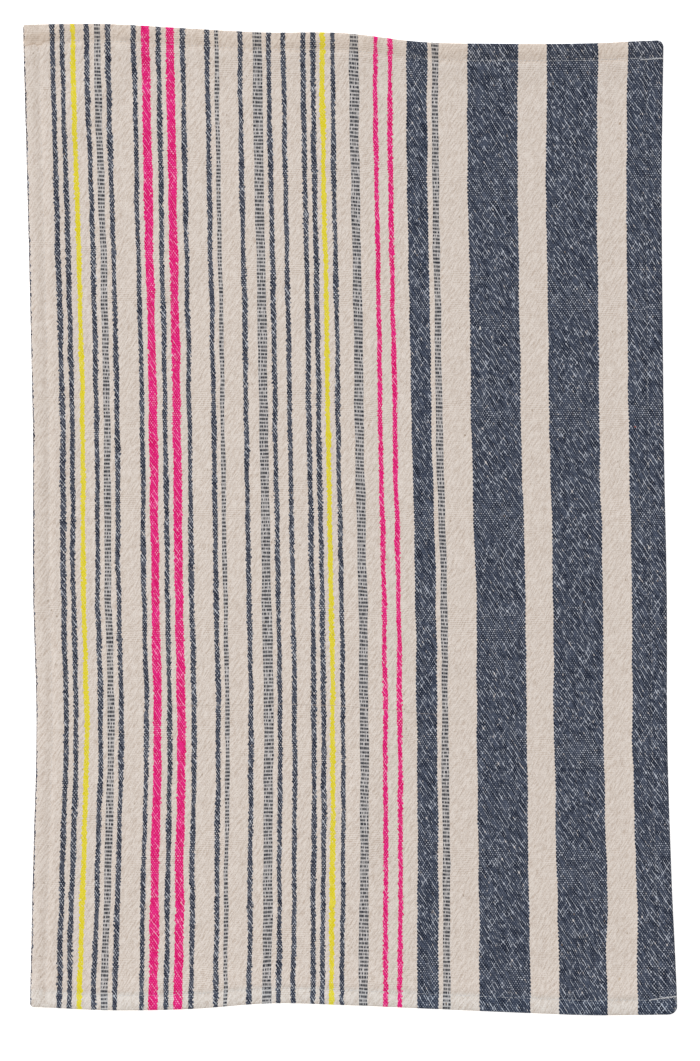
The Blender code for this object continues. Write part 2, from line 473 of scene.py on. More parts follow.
@dataclass
class TowelCloth:
    """The cloth with its four hems, as one closed mesh woven all over.

    reach is how far inside the hems the even part of the mesh begins. corner_steps are the
    columns and rows close to a corner, as shares of the largest corner's radius.
    """

    lay: TowelLay
    finish: "WovenCottonFinish"
    cells_across: int = 140
    cells_along: int = 214
    reach: float = 9 * MM
    fold_steps: int = 8
    corner_steps: tuple[float, ...] = (0.14, 0.30, 0.48, 0.70, 1.0)
    lower_left: float = 2.6 * MM
    lower_right: float = 6.4 * MM
    upper_left: float = 2.4 * MM
    upper_right: float = 4.6 * MM
    bake_edge: float = 17 * MM
    back_share: float = 0.12
    back_clear: float = 1.1
    across: np.ndarray = field(init=False)
    along: np.ndarray = field(init=False)
    points: list[np.ndarray] = field(init=False, default_factory=list)
    faces: list[np.ndarray] = field(init=False, default_factory=list)
    yarn_places: list[np.ndarray] = field(init=False, default_factory=list)
    layers: list[np.ndarray] = field(init=False, default_factory=list)
    count: int = field(init=False, default=0)

    def fractions(self, span: float, cells: int) -> np.ndarray:
        """Space the mesh along one side, with a few rows close to each corner.

        Args:
            span: The length of the side.
            cells: The number of even steps along it.

        Returns:
            Rising shares of the side, from 0 to 1.
        """
        beside = [step * self.lower_right / span for step in self.corner_steps]
        even = [k / cells for k in range(1, cells) if beside[-1] < k / cells < 1 - beside[-1]]
        return np.array([0.0, *beside, *even, *[1 - b for b in beside[::-1]], 1.0])

    def insets(self, share: float, extra: float) -> tuple[float, float, float, float]:
        """Work out a loop's distances in from the four edges.

        Args:
            share: Its share of each hem's depth.
            extra: What it lies further in.

        Returns:
            Distances in from the left, right, bottom and top edges.
        """
        lay = self.lay
        depths = (lay.side_hem, lay.side_hem, lay.bottom_hem, lay.top_hem)
        return tuple(share * depth + extra for depth in depths)

    def lines(self, inset: tuple[float, float, float, float]) -> tuple[np.ndarray, np.ndarray]:
        """Work out the columns and rows of the mesh inside the given insets.

        Args:
            inset: Distances in from the left, right, bottom and top edges.

        Returns:
            The u of each column and the v of each row.
        """
        left, right, bottom, top = inset
        us = left + self.across * (self.lay.width - left - right)
        vs = bottom + self.along * (self.lay.length - bottom - top)
        return us, vs

    def rim(self, inset: tuple[float, float, float, float]) -> tuple[np.ndarray, np.ndarray]:
        """Points of a loop, anticlockwise from the lower left, with its corners rounded.

        Args:
            inset: Distances in from the left, right, bottom and top edges.

        Returns:
            The u and v of each point.
        """
        us, vs = self.lines(inset)
        low, high = np.full(len(us) - 1, vs[0]), np.full(len(us) - 1, vs[-1])
        first, last = np.full(len(vs) - 1, us[0]), np.full(len(vs) - 1, us[-1])
        u = np.concatenate([us[:-1], last, us[:0:-1], first])
        v = np.concatenate([low, vs[:-1], high, vs[:0:-1]])
        corners = (
            (us[0], vs[0], 1, 1, self.lower_left),
            (us[-1], vs[0], -1, 1, self.lower_right),
            (us[-1], vs[-1], -1, -1, self.upper_right),
            (us[0], vs[-1], 1, -1, self.upper_left),
        )
        for corner_u, corner_v, right_way, up_way, radius in corners:
            radius = radius - min(inset)
            if radius <= 0:
                continue
            across, up = (u - corner_u) * right_way, (v - corner_v) * up_way
            along = np.maximum(across, up)
            near = (along < radius) & (np.minimum(across, up) < 1e-9)
            angle = math.pi / 4 * (1 - along / radius)
            low_side = across >= up
            round_u = radius - radius * np.where(low_side, np.sin(angle), np.cos(angle))
            round_v = radius - radius * np.where(low_side, np.cos(angle), np.sin(angle))
            u = np.where(near, corner_u + right_way * round_u, u)
            v = np.where(near, corner_v + up_way * round_v, v)
        return u, v

    def section(self) -> list[EdgeLoop]:
        """List the loops from the face, over the fold, beneath the hem and along the gap.

        Returns:
            The loops in order.
        """
        lay = self.lay
        radius = (lay.cloth + lay.gap + lay.turned) / 2
        face = [EdgeLoop(1, inset * MM, 1, 0) for inset in FACE_INSETS]
        face += [EdgeLoop(0.5, 0, 1, 0), EdgeLoop(0.3, 0, 1, 0), EdgeLoop(0, radius, 1, 0)]
        fold = []
        for k in range(1, self.fold_steps + 1):
            turn = math.pi * k / self.fold_steps
            inset = radius * (1 - math.sin(turn))
            share = (1 + math.cos(turn)) / 2
            fold.append(EdgeLoop(0, inset, share, 0, radius * turn - radius))
        beyond = radius * math.pi - 2 * radius
        under = [EdgeLoop(share, 0, 0, 0, beyond) for share in (0.3, 0.55)]
        under += [EdgeLoop(1, inset * MM, 0, rise * MM, beyond) for inset, rise in UNDER_LOOPS]
        half = lay.turned / 2
        strip_top = -(lay.cloth + lay.gap)
        # The strip's inner edge, rounded by points at 45 degrees.
        edge = [
            EdgeLoop(1, half * 0.7, 0, half * 0.3, beyond),
            EdgeLoop(1, half, 0, half, beyond),
            EdgeLoop(1, half * 0.7, 0, half * 1.7, beyond, Layer.BACK),
            EdgeLoop(1, -0.6 * MM, 1, strip_top, beyond, Layer.BACK),
        ]
        gap = [
            EdgeLoop(0.3, 0, 1, strip_top, beyond, Layer.BACK),
            EdgeLoop(0, radius * 0.85, 1, -lay.cloth - lay.gap / 2, None, Layer.BACK),
            EdgeLoop(0.3, 0, 1, -lay.cloth, None, Layer.BACK),
        ]
        back = [EdgeLoop(1, inset * MM, 1, -lay.cloth, None, Layer.BACK) for inset in BACK_INSETS]
        return face + fold + under + edge + gap + back

    def cloth_place(
        self, loop: EdgeLoop, u: np.ndarray, v: np.ndarray, inset: tuple[float, ...]
    ) -> dict[str, tuple[np.ndarray, np.ndarray]]:
        """Work out which bit of the cloth lies at a loop's points, for each edge in turn.

        Args:
            loop: The loop.
            u: Places across, as laid.
            v: Places along, as laid.
            inset: The loop's distances in from the four edges.

        Returns:
            For each edge, the places on the cloth itself, which run on past the fold.
        """
        if loop.past_fold is None:
            return {name: (u, v) for name in ("bottom", "right", "top", "left")}
        if loop.height_share > 0 and loop.layer is Layer.FACE:
            left = right = bottom = top = loop.past_fold
        else:
            left, right, bottom, top = (loop.past_fold + d for d in inset)
        wide, long = self.lay.width, self.lay.length
        return {
            "bottom": (u, np.full_like(v, -bottom)),
            "right": (np.full_like(u, wide + right), v),
            "top": (u, np.full_like(v, long + top)),
            "left": (np.full_like(u, -left), v),
        }

    def build(self) -> bpy.types.Object:
        """Build the closed mesh, its yarn map and its finish.

        Returns:
            The towel's cloth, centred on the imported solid.
        """
        lay = self.lay
        self.across = self.fractions(lay.width, self.cells_across)
        self.along = self.fractions(lay.length, self.cells_along)
        rim, places = self.add_field(Layer.FACE)
        for loop in self.section():
            inset = self.insets(loop.share, loop.extra)
            u, v = self.rim(inset)
            lift = lay.lift(u, v)
            face = lay.face(u, v, stitched=loop.layer is Layer.FACE)
            z = lift + loop.height_share * face + loop.height_extra
            next_rim = self.add_points(u, v, z)
            next_places = self.cloth_place(loop, u, v, inset)
            self.bridge(rim, next_rim, places, next_places, loop.layer)
            rim, places = next_rim, next_places
        last_rim, last_places = self.add_field(Layer.BACK)
        self.bridge(rim, last_rim, places, last_places, Layer.BACK)
        return self.dress()

    def add_points(self, u: np.ndarray, v: np.ndarray, z: np.ndarray) -> np.ndarray:
        """Add laid points to the mesh.

        Args:
            u: Places across the flat cloth.
            v: Places along it.
            z: Their heights.

        Returns:
            Their numbers, in the shape of u.
        """
        x, y = self.lay.plan(u, v)
        self.points.append(np.stack([x, y, z], axis=-1).reshape(-1, 3))
        numbers = self.count + np.arange(u.size).reshape(u.shape)
        self.count += u.size
        return numbers

    def add_field(
        self, layer: Layer
    ) -> tuple[np.ndarray, dict[str, tuple[np.ndarray, np.ndarray]]]:
        """Add the cloth inside the hems, seen from above or from beneath.

        Args:
            layer: The side of the cloth.

        Returns:
            The numbers of its rim's points, and their places on the cloth.
        """
        us, vs = self.lines(self.insets(1, self.reach))
        u, v = np.meshgrid(us, vs, indexing="ij")
        lift = self.lay.lift(u, v)
        thick = self.lay.face(u, v, stitched=layer is Layer.FACE)
        if layer is Layer.BACK:
            thick = thick - self.lay.cloth
        numbers = self.add_points(u, v, lift + thick)
        a, b = numbers[:-1, :-1].ravel(), numbers[1:, :-1].ravel()
        c, d = numbers[1:, 1:].ravel(), numbers[:-1, 1:].ravel()
        ring = (a, b, c, d) if layer is Layer.FACE else (a, d, c, b)
        quads = np.stack(ring, axis=-1)
        self.faces.append(quads)
        flat = np.stack([u.ravel(), v.ravel()], axis=-1)
        self.yarn_places.append(flat[quads - numbers[0, 0]])
        self.layers.append(np.full(len(quads), layer.value))
        rim = np.concatenate(
            [numbers[:-1, 0], numbers[-1, :-1], numbers[:0:-1, -1], numbers[0, :0:-1]]
        )
        at = flat[rim - numbers[0, 0]]
        return rim, {name: (at[:, 0], at[:, 1]) for name in ("bottom", "right", "top", "left")}

    def bridge(
        self,
        rim: np.ndarray,
        next_rim: np.ndarray,
        places: dict[str, tuple[np.ndarray, np.ndarray]],
        next_places: dict[str, tuple[np.ndarray, np.ndarray]],
        layer: Layer,
    ) -> None:
        """Add the faces between two loops, each edge on its own run of the cloth.

        Args:
            rim: Numbers of the first loop's points.
            next_rim: Numbers of the next loop's points.
            places: The first loop's places on the cloth, for each edge.
            next_places: The next loop's places on the cloth.
            layer: The side of the cloth that the faces show.
        """
        wide, long = len(self.across) - 1, len(self.along) - 1
        after = np.roll(np.arange(len(rim)), -1)
        quads = np.stack([rim, next_rim, next_rim[after], rim[after]], axis=-1)
        self.faces.append(quads)
        edges = ["bottom"] * wide + ["right"] * long + ["top"] * wide + ["left"] * long
        here = np.array([[places[e][0][k], places[e][1][k]] for k, e in enumerate(edges)])
        there = np.array(
            [[next_places[e][0][k], next_places[e][1][k]] for k, e in enumerate(edges)]
        )
        here_on = np.array(
            [[places[e][0][after[k]], places[e][1][after[k]]] for k, e in enumerate(edges)]
        )
        there_on = np.array(
            [[next_places[e][0][after[k]], next_places[e][1][after[k]]]
             for k, e in enumerate(edges)]
        )
        self.yarn_places.append(np.stack([here, there, there_on, here_on], axis=1))
        self.layers.append(np.full(len(quads), layer.value))

    def dress(self) -> bpy.types.Object:
        """Turn the gathered points into a finished, smooth-shaded object.

        Returns:
            The towel's cloth, in the scene.
        """
        points = np.concatenate(self.points)
        middle = self.lay.middle()
        points[:, 0] -= middle[0]
        points[:, 1] -= middle[1]
        quads = np.concatenate(self.faces)
        places = np.concatenate(self.yarn_places).reshape(-1, 2)
        layers = np.repeat(np.concatenate(self.layers), 4)
        mesh = bpy.data.meshes.new("striped_cloth")
        mesh.from_pydata(points.tolist(), [], quads.tolist())
        mesh.update()
        yarns = mesh.uv_layers.new(name=self.finish.yarn_map)
        ends = places[:, 0] / self.finish.end_pitch
        picks = places[:, 1] / self.finish.pick_pitch + layers
        yarns.data.foreach_set("uv", np.stack([ends, picks], axis=-1).ravel())
        self.spread_flat(mesh, places, layers)
        mesh.materials.append(self.finish.material())
        mesh.shade_smooth()
        cloth = bpy.data.objects.new("striped_cloth", mesh)
        bpy.context.scene.collection.objects.link(cloth)
        return cloth

    def spread_flat(self, mesh: bpy.types.Mesh, places: np.ndarray, layers: np.ndarray) -> None:
        """Add the map for baking: the unfolded face fills it, over a low strip for the back.

        Args:
            mesh: The cloth's mesh.
            places: Where each face's corners lie on the unfolded cloth.
            layers: The side of the cloth that each corner shows.
        """
        spread = mesh.uv_layers.new(name=BAKE_MAP)
        edge = self.bake_edge
        across = (places[:, 0] + edge) / (self.lay.width + 2 * edge)
        along = (places[:, 1] + edge) / (self.lay.length + 2 * edge)
        low = self.back_clear * self.back_share
        on_face = layers == Layer.FACE.value
        right = np.where(on_face, across, 1 - across)
        up = np.where(on_face, low + (1 - low) * along, self.back_share * along)
        spread.data.foreach_set("uv", np.stack([right, up], axis=-1).ravel())


# ---------------------------------------------------------------- node trees


class Socket:
    """A node's output, on which arithmetic adds Math nodes."""

    def __init__(self, graph: "NodeGraph", link: bpy.types.NodeSocket) -> None:
        """Keep the graph and the output."""
        self.graph = graph
        self.link = link

    def __add__(self, other: "Socket | float") -> "Socket":
        """Sum."""
        return self.graph.math("ADD", self, other)

    def __radd__(self, other: "Socket | float") -> "Socket":
        """Sum, number first."""
        return self.graph.math("ADD", other, self)

    def __sub__(self, other: "Socket | float") -> "Socket":
        """Difference."""
        return self.graph.math("SUBTRACT", self, other)

    def __rsub__(self, other: "Socket | float") -> "Socket":
        """Difference, number first."""
        return self.graph.math("SUBTRACT", other, self)

    def __mul__(self, other: "Socket | float") -> "Socket":
        """Product."""
        return self.graph.math("MULTIPLY", self, other)

    def __rmul__(self, other: "Socket | float") -> "Socket":
        """Product, number first."""
        return self.graph.math("MULTIPLY", other, self)

    def __truediv__(self, other: "Socket | float") -> "Socket":
        """Quotient."""
        return self.graph.math("DIVIDE", self, other)

    def __gt__(self, other: "Socket | float") -> "Socket":
        """1 where this is the greater."""
        return self.graph.math("GREATER_THAN", self, other)


@dataclass(frozen=True)
class Ripple:
    """A layer of smooth noise: its strength, how quick it is in x and y, and its start."""

    strength: float
    quick_x: float
    quick_y: float
    start_x: float = 0.0
    start_y: float = 0.0
    detail: float = 0.0


class NodeGraph:
    """A node tree that is written as expressions."""

    def __init__(self, tree: bpy.types.NodeTree) -> None:
        """Keep the tree."""
        self.tree = tree

    def node(
        self, kind: str, settings: dict | None = None, sockets: dict | None = None
    ) -> bpy.types.Node:
        """Add a node.

        Args:
            kind: The node's type.
            settings: Properties, which are set first.
            sockets: Values or links of its inputs, by name or number.

        Returns:
            The node.
        """
        made = self.tree.nodes.new(kind)
        for name, value in (settings or {}).items():
            setattr(made, name, value)
        for name, value in (sockets or {}).items():
            if isinstance(value, Socket):
                self.tree.links.new(value.link, made.inputs[name])
            else:
                made.inputs[name].default_value = value
        return made

    def output(self, node: bpy.types.Node, name: str | int = 0) -> Socket:
        """Wrap one output of a node."""
        return Socket(self, node.outputs[name])

    def math(self, operation: str, *values: Socket | float, clamp: bool = False) -> Socket:
        """Add a Math node.

        Args:
            operation: What it does.
            values: Its operands.
            clamp: Whether its result is kept from 0 to 1.

        Returns:
            Its result.
        """
        settings = {"operation": operation, "use_clamp": clamp}
        return self.output(self.node("ShaderNodeMath", settings, dict(enumerate(values))))

    def is_near(self, value: Socket, middle: float, within: float) -> Socket:
        """1 where the value is near the middle, and 0 elsewhere."""
        return self.math("COMPARE", value, middle, within)

    def ramp_up(self, value: Socket, low: float, high: float) -> Socket:
        """Rise softly from 0 at low to 1 at high, or fall if low is the greater.

        Args:
            value: The number that is read.
            low: Where the result is 0.
            high: Where the result is 1.

        Returns:
            The result, from 0 to 1.
        """
        settings = {"interpolation_type": "SMOOTHSTEP"}
        sockets = {"Value": value, "From Min": low, "From Max": high}
        return self.output(self.node("ShaderNodeMapRange", settings, sockets))

    def point(self, x: Socket | float, y: Socket | float) -> Socket:
        """A vector of two numbers."""
        return self.output(self.node("ShaderNodeCombineXYZ", None, {0: x, 1: y}))

    def noise(self, x: Socket | float, y: Socket | float, detail: float = 0.0) -> Socket:
        """Make smooth noise on two numbers.

        Args:
            x: The first number.
            y: The second number.
            detail: How much finer noise is added.

        Returns:
            A number about 0, mostly within 0.5 of it.
        """
        sockets = {"Vector": self.point(x, y), "Scale": 1.0, "Detail": detail}
        settings = {"noise_dimensions": "2D"}
        return (self.output(self.node("ShaderNodeTexNoise", settings, sockets)) - 0.5) * 2.0

    def ripple(self, layer: Ripple, x: Socket, y: Socket) -> Socket:
        """Lay a layer of noise on two numbers.

        Args:
            layer: The layer.
            x: The first number.
            y: The second number.

        Returns:
            Its height, above or below 0.
        """
        x = x * layer.quick_x + layer.start_x
        y = y * layer.quick_y + layer.start_y
        return self.noise(x, y, layer.detail) * layer.strength

    def chance(self, x: Socket | float, y: Socket | float) -> Socket:
        """Draw a random number for each pair of numbers.

        Args:
            x: The first number.
            y: The second number.

        Returns:
            A number from 0 to 1.
        """
        settings = {"noise_dimensions": "2D"}
        sockets = {"Vector": self.point(x, y)}
        return self.output(self.node("ShaderNodeTexWhiteNoise", settings, sockets))

    def mix(self, factor: Socket | float, first: object, second: object) -> Socket:
        """Mix two colours.

        Args:
            factor: The second colour's share.
            first: A colour or a link.
            second: A colour or a link.

        Returns:
            The mixed colour.
        """
        settings = {"data_type": "RGBA", "clamp_factor": True}
        sockets = {0: factor, 6: first, 7: second}
        return self.output(self.node("ShaderNodeMix", settings, sockets), 2)

    def shade(self, colour: object, amount: Socket) -> Socket:
        """Make a colour darker or lighter by a number.

        Args:
            colour: A colour or a link.
            amount: What it is multiplied by.

        Returns:
            The shaded colour.
        """
        settings = {"operation": "SCALE"}
        plain = colour if isinstance(colour, Socket) else colour[:3]
        sockets = {0: plain, "Scale": amount}
        return self.output(self.node("ShaderNodeVectorMath", settings, sockets))


def new_material(name: str) -> tuple[bpy.types.Material, NodeGraph]:
    """Start an empty material.

    Args:
        name: Its name.

    Returns:
        The material and its graph.
    """
    material = bpy.data.materials.new(name)
    material.use_nodes = True
    material.node_tree.nodes.clear()
    return material, NodeGraph(material.node_tree)


# ---------------------------------------------------------------- the finishes


@dataclass(frozen=True)
class Crossing:
    """Where a shading point lies in the weave.

    end and pick are counted from the lower left, and across and up are how far the point
    is from their crossing's middle. line counts the slanting lines that fall to the right
    and step the places along one. lean and slope are the distances from such a place's
    middle, and along is how far down the lines the point lies.
    """

    end: Socket
    pick: Socket
    across: Socket
    up: Socket
    weft_over: Socket
    line: Socket
    step: Socket
    lean: Socket
    slope: Socket
    along: Socket


@dataclass(frozen=True)
class Dye:
    """A dyed yarn: its deep and faded colour, and the weft as it looks among its ends.

    swell is how far the yarn spreads over its neighbours, in ends, and shadow how much
    darker it looks beside a line of weft.
    """

    yarn: Yarn
    deep: tuple[float, float, float]
    faded: tuple[float, float, float]
    fleck: tuple[float, float, float]
    shadow: float
    swell: float = 0.0


@dataclass(frozen=True)
class Fleck:
    """The spot of weft at a crossing."""

    cover: Socket
    depth: Socket
    line: Socket
    bright: Socket
    cream: Socket
    even_beat: Socket


@dataclass(frozen=True)
class YarnRipples:
    """The layers of noise that keep yarns, flecks and colours from being too even.

    A layer is laid on ends and picks, or on the places along and across slanting lines.
    """

    sway: Ripple = Ripple(0.7, 0.13, 0.045)
    small_sway: Ripple = Ripple(0.3, 0.45, 0.15, start_y=40.0)
    beat: Ripple = Ripple(0.5, 0.03, 0.11, start_x=9.0)
    small_beat: Ripple = Ripple(0.12, 0.2, 1.0, start_y=70.0)
    stroke: Ripple = Ripple(0.34, 0.45, 0.10)
    fine_stroke: Ripple = Ripple(0.62, 0.85, 0.17, start_x=15.0)
    broad_stroke: Ripple = Ripple(0.12, 0.10, 0.03, start_x=5.0, detail=1.0)
    cross_stroke: Ripple = Ripple(0.25, 0.6, 0.3, start_x=3.0)
    rib_slip: Ripple = Ripple(7.0, 0.09, 0.08, start_x=61.0, detail=1.0)
    grain: Ripple = Ripple(0.50, 1.1, 1.3, start_x=7.0)
    line_slip: Ripple = Ripple(7.0, 0.11, 0.09, start_x=11.0, detail=1.0)
    falling: Ripple = Ripple(0.56, 1.466, 0.17, start_x=7.0)
    rising: Ripple = Ripple(1.0, 1.466, 0.3, start_x=31.0)
    thick_pick: Ripple = Ripple(0.12, 0.733, 0.045, start_x=3.0)
    thick_end: Ripple = Ripple(0.12, 0.733, 0.04, start_x=17.0)
    zone: Ripple = Ripple(1.0, 0.09, 0.07, start_x=50.0, detail=1.0)
    packed: Ripple = Ripple(0.75, 0.075, 0.012, start_x=20.0, detail=1.0)
    worn: Ripple = Ripple(0.8, 0.5, 0.07, start_x=90.0)
    quick_worn: Ripple = Ripple(0.6, 0.733, 0.16, start_x=60.0)
    fuzz: Ripple = Ripple(1.0, 0.6, 0.8, start_x=21.0)
    bar_slip: Ripple = Ripple(1.2, 0.8, 0.55, start_x=13.0)
    bar_closed: Ripple = Ripple(1.0, 1.3, 0.37)
    bar_worn: Ripple = Ripple(1.0, 0.9, 0.55, start_x=3.0)


@dataclass(frozen=True)
class FleckRule:
    """How large the flecks of weft are, in ends and picks, and when they join into lines.

    The _range pairs are where a ramp begins and ends. Flecks join along the lines that
    fall to the right and, less often, along those that rise. Where the picks are packed,
    which comes back every packed_every picks, the flecks lie level and even.
    """

    turn_about: float = 0.38
    falling_zone: float = 0.04
    falling_loose: float = 0.08
    falling_range: Range = (-0.16, 0.56)
    rising_loose: float = 0.1
    rising_range: Range = (0.10, 0.50)
    size: float = 0.95
    size_zone: float = 0.05
    size_loose: float = 0.12
    breadth: float = 0.32
    breadth_on_falling: float = 0.12
    breadth_on_rising: float = 0.38
    length: float = 0.48
    length_on_falling: float = 0.67
    level_breadth: float = 0.62
    level_height: float = 0.30
    packed_pick: float = 317.0
    packed_every: float = 59.5
    packed_ends: Range = (15.0, 100.0)
    packed_strength: float = 0.26
    even_range: Range = (0.14, 0.38)
    even_share: float = 0.6
    cover_range: Range = (1.58, 0.47)
    bright: float = 0.24
    bright_on_line: float = 0.62
    bright_when_even: float = 0.10
    bright_loose: float = 0.14
    rising_strength: float = 0.8
    cream_above: float = 0.95


@dataclass(frozen=True)
class BarRule:
    """How the dark ends of the one-and-one stripes close up into short bars.

    own is a dark end's own breadth, and the gap is the ground end beside it. The light
    between the bars is toned by light_tone and by what the other tones add.
    """

    overlap: float = 0.28
    own_range: Range = (-0.60, 0.05)
    bar_range: Range = (-0.80, 0.30)
    closed_range: Range = (-0.14, 0.14)
    own_depth: float = 0.95
    own_depth_worn: float = 0.3
    gap_depth: float = 0.08
    gap_depth_closed: float = 0.70
    light_tone: float = 1.18
    tone_own: float = 0.26
    tone_luck: float = 0.14
    tone_worn: float = 0.2


@dataclass(frozen=True)
class PaintedLightRule:
    """Painted light and shade on the hems and across the cloth, in ends and picks.

    top_picks and bottom_picks are where the tints of the end hems begin and are full: the
    top hem is painted darker and warmer as painted shade, the bottom hem brighter and cooler
    as painted light. The top one begins slant_picks lower by the left edge. The whole cloth
    is left_tone as light at that edge, and darkens by tone_per_end across the warp, as
    painted light that falls off from the left.
    """

    top: Colour = (0.98, 0.955, 0.925, 1.0)
    bottom: Colour = (1.01, 1.05, 1.075, 1.0)
    top_picks: Range = (497.5, 500.0)
    bottom_picks: Range = (10.2, 8.2)
    slant_picks: float = 1.75
    slant_ends: Range = (35.0, 0.0)
    left_tone: float = 1.035
    tone_per_end: float = 0.000095


@dataclass(frozen=True)
class YarnHeights:
    """Heights of the yarns' crowns and of the lie of the yarns, in millimetres."""

    warp: float = 0.10
    weft: float = 0.09
    weft_range: Range = (1.3, 0.0)
    lie: float = 0.10


@dataclass(frozen=True)
class WovenCottonFinish:
    """Plain-weave cotton, each end and pick drawn from the cloth's own yarn map.

    The ground and weft are painted darker in their hollows, as painted shade. The hollows lie
    between slanting streaks and, where the picks are evenly beaten, between the picks. The
    warp is painted darker in a ring round each fleck of weft, a dyed end most, as painted
    shade. Husks are rare brown specks.
    """

    yarn_map: str = "yarns"
    end_pitch: float = 457 * MM / 522
    pick_pitch: float = 1.376 * MM
    # The weft and the ground are each followed by their painted shade for the hollows of the weave.
    weft: Colour = (0.675, 0.602, 0.548, 1.0)
    weft_painted_shade: Colour = (0.525, 0.447, 0.392, 1.0)
    ground: Colour = (0.650, 0.580, 0.521, 1.0)
    ground_painted_shade: Colour = (0.470, 0.385, 0.320, 1.0)
    # The weft between the bars of the one-and-one stripes, greyed partly by painted shade.
    between_weft_and_shade: Colour = (0.405, 0.382, 0.37, 1.0)
    between_dark: Colour = (0.030, 0.032, 0.040, 1.0)
    husk: Colour = (0.22, 0.15, 0.09, 1.0)
    dyes: tuple[Dye, ...] = (
        Dye(
            Yarn.NAVY,
            deep=(0.009, 0.0135, 0.028),
            faded=(0.061, 0.074, 0.109),
            fleck=(0.445, 0.465, 0.515),
            shadow=0.36,
        ),
        Dye(
            Yarn.SLATE,
            deep=(0.011, 0.015, 0.030),
            faded=(0.078, 0.086, 0.114),
            fleck=(0.47, 0.48, 0.51),
            shadow=0.16,
            swell=0.03,
        ),
        Dye(
            Yarn.PINK,
            deep=(0.575, 0.002, 0.104),
            faded=(0.715, 0.016, 0.195),
            fleck=(0.84, 0.27, 0.45),
            shadow=0.08,
            swell=0.02,
        ),
        Dye(
            Yarn.YELLOW,
            deep=(0.62, 0.52, 0.014),
            faded=(0.69, 0.585, 0.055),
            fleck=(0.70, 0.61, 0.15),
            shadow=0.04,
            swell=0.5,
        ),
    )
    ripples: YarnRipples = YarnRipples()
    flecks: FleckRule = FleckRule()
    bars: BarRule = BarRule()
    painted_light: PaintedLightRule = PaintedLightRule()
    heights: YarnHeights = YarnHeights()
    rib_depth: float = 0.12
    drawn_over: float = 0.35
    drawn_less: float = 0.1
    worn_level: float = 0.40
    hollow_level: float = 0.34
    hollow_by_lie: float = 0.85
    hollow_by_beat: float = 0.36
    cream_share: float = 0.6
    ring_depth: float = 1.1
    ring_breadth: float = 0.5
    ring_shade: float = 0.10
    ring_shadow: float = 0.42
    husk_above: float = 0.9994
    husk_share: float = 0.5
    mark_range: Range = (1.0, 0.45)
    roughness: float = 0.92
    fleck_gloss: float = 0.1
    specular: float = 0.12

    def material(self) -> bpy.types.Material:
        """Build the material.

        Returns:
            The material.
        """
        material, graph = new_material("striped_cotton")
        crossing = self.find_crossing(graph)
        streak = self.lie_of_yarns(graph, crossing)
        fleck = self.fleck(graph, crossing)
        colour = self.colour(graph, crossing, fleck, streak)
        height = self.relief(graph, crossing, fleck, streak)
        bump = graph.node(
            "ShaderNodeBump", None, {"Strength": 1.0, "Distance": MM, "Height": height}
        )
        shader = graph.node(
            "ShaderNodeBsdfPrincipled",
            None,
            {
                "Base Color": colour,
                "Roughness": self.roughness - self.fleck_gloss * fleck.cover,
                "Specular IOR Level": self.specular,
                "Normal": graph.output(bump),
            },
        )
        graph.node("ShaderNodeOutputMaterial", None, {"Surface": graph.output(shader)})
        return material

    def find_crossing(self, graph: NodeGraph) -> Crossing:
        """Find the end and pick at a point, with the yarns wandering a little.

        Args:
            graph: The material's graph.

        Returns:
            The crossing.
        """
        uv = graph.output(graph.node("ShaderNodeUVMap", {"uv_map": self.yarn_map}))
        split = graph.node("ShaderNodeSeparateXYZ", None, {0: uv})
        p, q = graph.output(split, 0), graph.output(split, 1)
        waves = self.ripples
        sway = graph.ripple(waves.sway, p, q) + graph.ripple(waves.small_sway, p, q)
        beat = graph.ripple(waves.beat, p, q) + graph.ripple(waves.small_beat, p, q)
        p, q = p + sway, q + beat
        end, pick = graph.math("FLOOR", p), graph.math("FLOOR", q)
        odd = graph.math("FLOORED_MODULO", end + pick, 2.0)
        line = graph.math("FLOOR", (p + q) * 0.5 + 0.5)
        step = graph.math("FLOOR", (p - q) * 0.5)
        return Crossing(
            end=end,
            pick=pick,
            across=p - end - 0.5,
            up=q - pick - 0.5,
            weft_over=odd > 0.5,
            line=line,
            step=step,
            lean=p + q - line * 2.0,
            slope=p - q - step * 2.0 - 1.0,
            along=p - q,
        )

    def lie_of_yarns(self, graph: NodeGraph, at: Crossing) -> Socket:
        """Soft streaks that lean up to the right, where the yarns lie closer or looser.

        Args:
            graph: The material's graph.
            at: The crossing.

        Returns:
            A number about 0, more than 0 in the hollows.
        """
        p, q = at.end + at.across, at.pick + at.up
        over, along = p - q, p + q
        waves = self.ripples
        rib = graph.math("COSINE", over * (math.pi / 2) + graph.ripple(waves.rib_slip, p, q))
        return (
            graph.ripple(waves.stroke, over, along)
            + graph.ripple(waves.fine_stroke, over, along)
            + rib * self.rib_depth
            + graph.ripple(waves.broad_stroke, over, along)
            + graph.ripple(waves.cross_stroke, along, over)
            + graph.ripple(waves.grain, p, q)
        )

